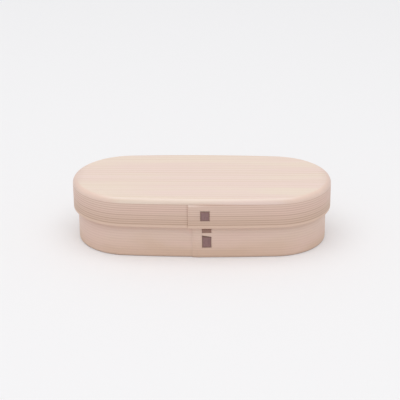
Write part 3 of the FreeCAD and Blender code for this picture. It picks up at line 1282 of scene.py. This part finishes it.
@dataclass
class LappedPart(SubAssembly, ABC):
    """What the body and the lid have in common: a hoop, and the bark that laces it.

    The bark's middle is at `bark_in` from the lap's outer end, at the run `lap_left`. The lap's face there is
    taken over `bark_reach` on both sides. `skive`, `thin` and `crest` are as in the lap.
    """

    wall: float
    lap_left: float
    bark_in: float
    skive: float
    thin: float
    crest: float
    ease: float
    top_ease: float
    foot_round: float
    side_radius: float = 1010.0 * MM
    lap_margin: float = 10.0 * MM
    bark_width: float = 7.9 * MM
    bark_thick: float = 0.4 * MM
    bark_play: float = 0.05 * MM
    bark_reach: float = 5.0 * MM
    board_fit: float = 0.1 * MM

    @abstractmethod
    def slits(self) -> list[Slit]:
        """The slits of the lap, from below."""

    @abstractmethod
    def turns(self, hoop: Hoop) -> list[Span]:
        """The depth and height of each of the bark's turns."""

    @property
    def bark_run(self) -> float:
        """The run at the bark's middle."""
        return self.lap_left + self.bark_in

    def body_oval(self) -> Oval:
        """The oval of the body hoop's outside, which the lid hoop's is parallel to."""
        body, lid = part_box("body_band")[1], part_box("lid_band")[1]
        return Oval(lid.x - (lid.y - body.y), body.y, self.side_radius)

    def lap_end(self) -> float:
        """Where the proud side of a lap has drawn back to the oval."""
        oval = self.body_oval()
        return oval.half_length - oval.end_radius - self.lap_margin

    def make_hoop(self, name: str, oval: Oval, heights: Span, rabbet: Rabbet) -> Hoop:
        """Set out the hoop.

        Args:
            name: Its name.
            oval: The oval of its outside.
            heights: Its lowest and highest.
            rabbet: The rabbet for its board.

        Returns:
            The hoop, which is still to be built.
        """
        low, high = heights
        return Hoop(
            name=name,
            oval=oval,
            low=low,
            high=high,
            wall=self.wall,
            rabbet=rabbet,
            lap=Lap(self.lap_left, self.lap_end(), self.side_radius, self.skive, self.thin, self.crest),
            slits=self.slits(),
            ease=self.ease,
            top_ease=self.top_ease,
            foot_round=self.foot_round,
        )

    def face_lines(self, hoop: Hoop) -> Span:
        """Depths of the bark's middle line outside and inside the lap."""
        clear = self.bark_thick / 2 + self.bark_play
        return -clear, self.wall + hoop.lap.step + clear

    def lace(self, hoop: Hoop, name: str) -> bpy.types.Object:
        """Lace the hoop's lap with bark.

        Args:
            hoop: The hoop.
            name: The name of the bark.

        Returns:
            The finished bark.
        """
        ends = []
        for run in (self.bark_run - self.bark_reach, self.bark_run + self.bark_reach):
            point, outward = hoop.oval.at(run)
            ends.append(point + outward * hoop.lap.proud(run, hoop.lap.crest))
        middle, chord = (ends[0] + ends[1]) / 2, ends[1] - ends[0]
        turn = Matrix.Rotation(math.atan2(chord.y, chord.x), 4, "Z")
        lacing = Lacing(name, self.turns(hoop), self.bark_width, self.bark_thick, hoop.slits)
        return lacing.build(Matrix.Translation(middle) @ turn)


@dataclass
class BoxBody(LappedPart):
    """The body: its hoop, foot board and bark.

    Its cedar turns tan over `tan_height` above its foot, and browner from `lid_shadow_drop` below the lid up,
    which is painted shade under the lid's overhang.
    """

    body: Ride = Ride.BOX_BODY
    wall: float = 3.5 * MM
    lap_left: float = -6.8 * MM
    bark_in: float = 12.45 * MM
    skive: float = 4.5 * MM
    thin: float = 0.12
    crest: float = 1.0 * MM
    ease: float = 0.5 * MM
    top_ease: float = 0.5 * MM
    foot_round: float = 1.2 * MM
    board_ease: float = 0.4 * MM
    board_round: float = 0.3 * MM
    board_steps: int = 3
    stitch_gap: float = 3.8 * MM
    short_stitch: float = 3.15 * MM
    tail_share: float = 0.8
    slit_climb: float = -0.17
    slit_gap: float = 0.28 * MM
    short_slit_gap: float = 0.08 * MM
    tan_height: float = 22.0 * MM
    lid_shadow_drop: float = 7.0 * MM

    def build(self) -> None:
        """Build and dress the body's pieces."""
        low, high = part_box("body_band")
        foot_low, foot_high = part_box("foot_board")
        oval = self.body_oval()
        beside_foot = oval.half_width - foot_high.y - self.board_fit
        hoop = self.make_hoop("body_hoop", oval, (low.z, high.z), Rabbet(beside_foot, low.z, foot_high.z))
        board = Board(
            name="foot_plate",
            oval=oval.parallel(foot_high.y - oval.half_width),
            low=foot_low.z,
            high=foot_high.z,
            lower_ease=self.board_ease,
            upper_round=self.board_round,
            round_steps=self.board_steps,
        )
        bends = tuple(slit.height for slit in hoop.slits)
        foot_cedar = CedarBoard(name="foot_cedar", half_length=foot_high.x)
        bark = CherryBark(name="body_bark", bends=bends, bounce_from=bends[2])
        self.dress(hoop.build(), "body_band", Slot.BAND, self.hoop_cedar(hoop))
        self.dress(board.build(), "foot_board", Slot.BOARD, foot_cedar)
        self.dress(self.lace(hoop, "body_lacing"), "body_bark_lacing", Slot.BARK, bark)

    def hoop_cedar(self, hoop: Hoop) -> CedarBand:
        """Choose the hoop's cedar.

        Args:
            hoop: The hoop.

        Returns:
            Its finish.
        """
        return CedarBand(
            name="body_cedar",
            low=hoop.low,
            high=hoop.high,
            perimeter=hoop.oval.perimeter,
            lap_left=self.lap_left,
            pink_from=hoop.low + self.tan_height,
            # Painted shade: a dark line along the foot, where it meets the floor.
            rim=(0.44, 0.31, 0.25),
            tan=(0.715, 0.503, 0.384),
            ring=2.4 * MM,
            line_share=0.22,
            patch_waves=(19.0, 60.0, 60.0),
            patch_lift=34.0 * MM,
            seam_share=0.03,
            # Painted shade under the lid's overhang.
            lid_shadow_low=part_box("lid_band")[0].z - self.lid_shadow_drop,
            lid_shadow_share=0.55,
        )

    def slits(self) -> list[Slit]:
        """Set out the four slits: a long stitch and, above it, a short one.

        Returns:
            The slits, from below.
        """
        low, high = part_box("body_bark_lacing")
        first = low.z + self.bark_thick / 2
        above = self.stitch_gap + self.short_stitch
        fourth = (high.z + self.tail_share * (first + above)) / (1 + self.tail_share)
        heights = (first, fourth - above, fourth - self.short_stitch, fourth)
        gaps = (0, self.slit_gap, 0, self.short_slit_gap)
        climbs = (0, self.slit_climb, 0, 0)
        return [Slit(self.bark_run, *place) for place in zip(heights, gaps, climbs)]

    def turns(self, hoop: Hoop) -> list[Span]:
        """Set out the bark: two stitches outside, one inside between them, and a tail at each end.

        Args:
            hoop: The hoop that it laces.

        Returns:
            The depth and height of each turn.
        """
        outside, inside = self.face_lines(hoop)
        first, second, third, fourth = (slit.height for slit in hoop.slits)
        tail = (second - first) * self.tail_share
        return [
            (inside, first + tail),
            (inside, first),
            (outside, first),
            (outside, second),
            (inside, second),
            (inside, third),
            (outside, third),
            (outside, fourth),
            (inside, fourth),
            (inside, fourth + tail),
        ]


@dataclass
class Lid(LappedPart):
    """The lid: its hoop, its rounded board and its bark."""

    body: Ride = Ride.LID
    wall: float = 2.2 * MM
    lap_left: float = -10.0 * MM
    bark_in: float = 14.35 * MM
    skive: float = 0.8 * MM
    thin: float = 0.9
    crest: float = 1.8 * MM
    ease: float = 0.3 * MM
    top_ease: float = 0.15 * MM
    foot_round: float = 0.3 * MM
    rabbet_depth: float = 0.9 * MM
    board_ease: float = 0.15 * MM
    board_flat: float = 0.3 * MM
    board_steps: int = 12
    bark_end: float = 1.6 * MM
    slit_gap: float = 0.12 * MM

    def build(self) -> None:
        """Build and dress the lid's pieces."""
        low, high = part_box("lid_band")
        board_low, board_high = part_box("lid_board")
        body_oval = self.body_oval()
        oval = body_oval.parallel(high.y - body_oval.half_width)
        rabbet = Rabbet(self.wall - self.rabbet_depth, board_low.z - self.board_fit, high.z)
        hoop = self.make_hoop("lid_hoop", oval, (low.z, high.z), rabbet)
        board = Board(
            name="lid_plate",
            oval=oval,
            low=high.z,
            high=board_high.z,
            lower_ease=self.board_ease,
            upper_round=board_high.z - high.z - self.board_flat,
            round_steps=self.board_steps,
            tongue_in=rabbet.wall + self.board_fit,
            tongue=high.z - board_low.z,
        )
        bends = tuple(slit.height for slit in hoop.slits)
        board_cedar = CedarBoard(name="lid_board_cedar", half_length=board_high.x)
        bark = CherryBark(name="lid_bark", bends=bends, bounce_from=high.z)
        self.dress(hoop.build(), "lid_band", Slot.BAND, self.hoop_cedar(hoop))
        self.dress(board.build(), "lid_board", Slot.BOARD, board_cedar)
        self.dress(self.lace(hoop, "lid_lacing"), "lid_bark_lacing", Slot.BARK, bark)

    def hoop_cedar(self, hoop: Hoop) -> CedarBand:
        """Choose the hoop's cedar.

        Args:
            hoop: The hoop.

        Returns:
            Its finish.
        """
        return CedarBand(
            name="lid_cedar",
            low=hoop.low,
            high=hoop.high,
            perimeter=hoop.oval.perimeter,
            lap_left=self.lap_left,
            pink_from=hoop.high,
            rim=(0.79, 0.57, 0.455),
            rim_height=3.4 * MM,
            tan=(0.675, 0.482, 0.375),
            line_share=0.95,
        )

    def slits(self) -> list[Slit]:
        """Set out the two slits of the lid's stitch.

        Returns:
            The slits, from below.
        """
        low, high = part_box("lid_bark_lacing")
        heights = (low.z + self.bark_thick / 2, high.z - self.bark_end)
        return [Slit(self.bark_run, *place) for place in zip(heights, (0, self.slit_gap))]

    def turns(self, hoop: Hoop) -> list[Span]:
        """Set out the bark: one stitch outside, and inside a tail turned up at both ends.

        Args:
            hoop: The hoop that it laces.

        Returns:
            The depth and height of each turn.
        """
        outside, inside = self.face_lines(hoop)
        lower, upper = (slit.height for slit in hoop.slits)
        return [
            (inside, upper - self.bark_end),
            (inside, lower),
            (outside, lower),
            (outside, upper),
            (inside, upper),
            (inside, upper + self.bark_end),
        ]


@dataclass
class Divider(SubAssembly):
    """The loose divider: a thin board across the box, rounded along its top.

    An edge is along the top if it is less than `close` below it, and longer than that across the box.
    """

    body: Ride = Ride.DIVIDER
    top_round: float = 1.2 * MM
    top_steps: int = 6
    ease: float = 0.35 * MM
    ease_steps: int = 3
    ring: float = 3.2 * MM
    close: float = 1.0 * MM

    def build(self) -> None:
        """Build and dress the divider."""
        low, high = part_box("divider")
        bm = bmesh.new()
        place = Matrix.Translation((low + high) / 2) @ Matrix.Diagonal((*(high - low), 1))
        bmesh.ops.create_cube(bm, size=1, matrix=place)
        top = [edge for edge in bm.edges if self.runs_along_top(edge, high.z)]
        ease_off(bm, top, self.top_round, self.top_steps)
        ease_off(bm, square_edges(bm), self.ease, self.ease_steps)
        cedar = CedarBoard(
            name="partition_cedar", half_length=high.y, grain=Grain.ACROSS_BOX, ring=self.ring
        )
        self.dress(make_piece(bm, "partition"), "divider", Slot.BOARD, cedar)

    def runs_along_top(self, edge: bmesh.types.BMEdge, top: float) -> bool:
        """Whether an edge is one of the two long ones at the top."""
        first, second = (vert.co for vert in edge.verts)
        return min(first.z, second.z) > top - self.close and abs(first.y - second.y) > self.close


@dataclass
class Studio:
    """The pale floor, the soft light and the camera."""

    floor_radius: float = 6.0
    floor_steps: int = 96
    azimuth: float = math.radians(2.02)
    elevation: float = math.radians(23.96)
    roll: float = math.radians(-0.48)
    distance: float = 1.15
    lens: float = 116.8
    middle_height: float = 26.9 * MM
    aim_right: float = -1.6 * MM
    aim_up: float = 5.04 * MM
    air: Colour = (0.92, 0.985, 1.0)
    air_level: float = 0.645
    backdrop: Colour = (0.87, 0.855, 0.88)
    lamp_colour: Colour = (1.0, 0.95, 0.92)
    lamp_size: tuple[float, float] = (4.0, 3.2)
    lamp_place: tuple[float, float, float] = (-0.12, -0.5, 2.9)
    lamp_power: float = 52.4

    def build(self) -> None:
        """Set up the floor, the light and the camera."""
        self.lay_floor()
        self.fill_with_air()
        self.hang_lamp()
        self.place_camera()

    def lay_floor(self) -> None:
        """Lay a wide round floor, on which the box stands."""
        bm = bmesh.new()
        bmesh.ops.create_circle(bm, cap_ends=True, segments=self.floor_steps, radius=self.floor_radius)
        floor = make_piece(bm, "studio_floor")
        floor.data.materials.append(StudioPaper(name="studio_paper").material())

    def fill_with_air(self) -> None:
        """Give even light from all round, and a plain backdrop to the camera."""
        world = bpy.data.worlds.new("studio_air")
        world.use_nodes = True
        bpy.context.scene.world = world
        graph = Graph(world.node_tree)
        lit = graph.add("ShaderNodeBackground", {}, {"Color": opaque(self.air), "Strength": self.air_level})
        shown = graph.add("ShaderNodeBackground", {}, {"Color": opaque(self.backdrop), "Strength": 1.0})
        both = graph.add("ShaderNodeMixShader", {}, {0: graph.seen(), 1: lit, 2: shown})
        graph.add("ShaderNodeOutputWorld", {}, {"Surface": both})

    def hang_lamp(self) -> None:
        """Hang a large soft lamp overhead."""
        lamp = bpy.data.lights.new("overhead_lamp", "AREA")
        lamp.shape = "RECTANGLE"
        lamp.size, lamp.size_y = self.lamp_size
        lamp.energy = self.lamp_power
        lamp.color = self.lamp_colour
        holder = bpy.data.objects.new("overhead_lamp", lamp)
        holder.location = self.lamp_place
        holder.rotation_euler = (-Vector(self.lamp_place)).to_track_quat("-Z", "Y").to_euler()
        holder.visible_camera = False
        bpy.context.scene.collection.objects.link(holder)

    def place_camera(self) -> None:
        """Place the camera at the photograph's viewing angle."""
        turn, tilt = self.azimuth, self.elevation
        right = Vector((math.cos(turn), math.sin(turn), 0))
        back = Vector((math.sin(turn) * math.cos(tilt), -math.cos(turn) * math.cos(tilt), math.sin(tilt)))
        up = back.cross(right)
        middle = UP * self.middle_height
        place = middle + back * self.distance
        aim = middle + right * self.aim_right + up * self.aim_up
        camera = bpy.data.objects.new("camera", bpy.data.cameras.new("camera"))
        camera.data.lens = self.lens
        facing = (aim - place).to_track_quat("-Z", "Y").to_matrix().to_4x4()
        camera.matrix_world = Matrix.Translation(place) @ facing @ Matrix.Rotation(self.roll, 4, "Z")
        bpy.context.scene.collection.objects.link(camera)
        bpy.context.scene.camera = camera


def main() -> None:
    """Build the pieces and the studio."""
    logging.basicConfig(level=logging.INFO, format="%(name)s: %(message)s")
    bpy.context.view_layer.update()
    for part in (BoxBody(), Lid(), Divider()):
        part.build()
    Studio().build()
    bpy.context.scene.view_settings.view_transform = "Standard"


if __name__ == "__main__":
    main()
